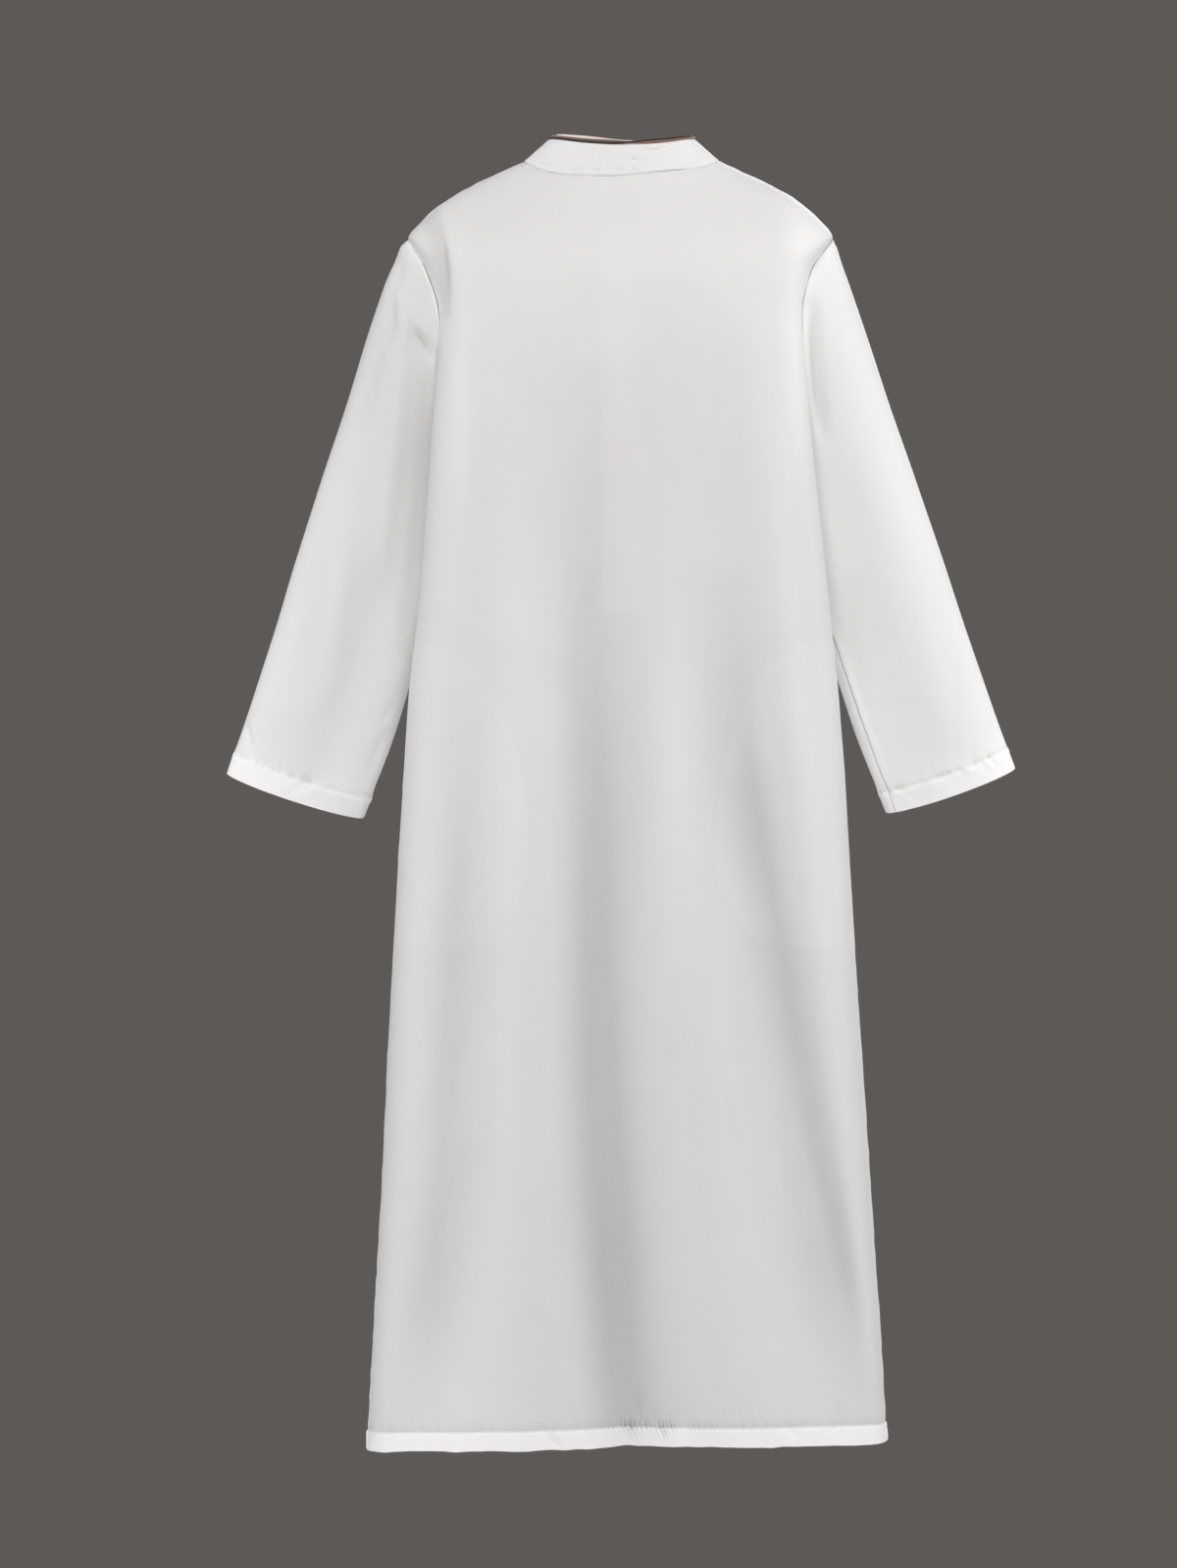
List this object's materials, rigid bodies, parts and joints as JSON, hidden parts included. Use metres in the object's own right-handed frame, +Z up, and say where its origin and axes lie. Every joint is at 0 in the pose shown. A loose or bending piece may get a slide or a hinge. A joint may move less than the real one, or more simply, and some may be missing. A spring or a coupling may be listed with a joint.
{
  "type": "thobe robe",
  "caption": "Long loose robe with a stand collar, corded collar edge, buttoned half placket, long straight sleeves and side pockets, filled out as if worn.",
  "frame": {"origin": "midway between the high points of the shoulders, where the neck seam meets the shoulder seams and the wearer's shoulders carry the robe", "axes": "+Z up the body, the front faces -Y and the back +Y, +X towards the wearer's left"},
  "size_m": [0.8676, 0.2868, 1.4267],
  "materials": {
    "cloth": "plain light polyester weave, matt with a faint sheen",
    "trim": "copper and black corded braid",
    "button": "white, semi-gloss"
  },
  "bodies": {
    "root": {"back_panel": "cloth", "front_panel": "cloth", "placket_over": "cloth", "placket_under": "cloth", "sleeve_left": "cloth", "sleeve_right": "cloth", "collar_band": "cloth", "collar_facing": "cloth", "pocket_left": "cloth", "pocket_right": "cloth", "collar_trim": "trim", "button_collar": "button", "button_1": "button", "button_2": "button", "button_3": "button", "button_4": "button"}
  },
  "joints": []
}
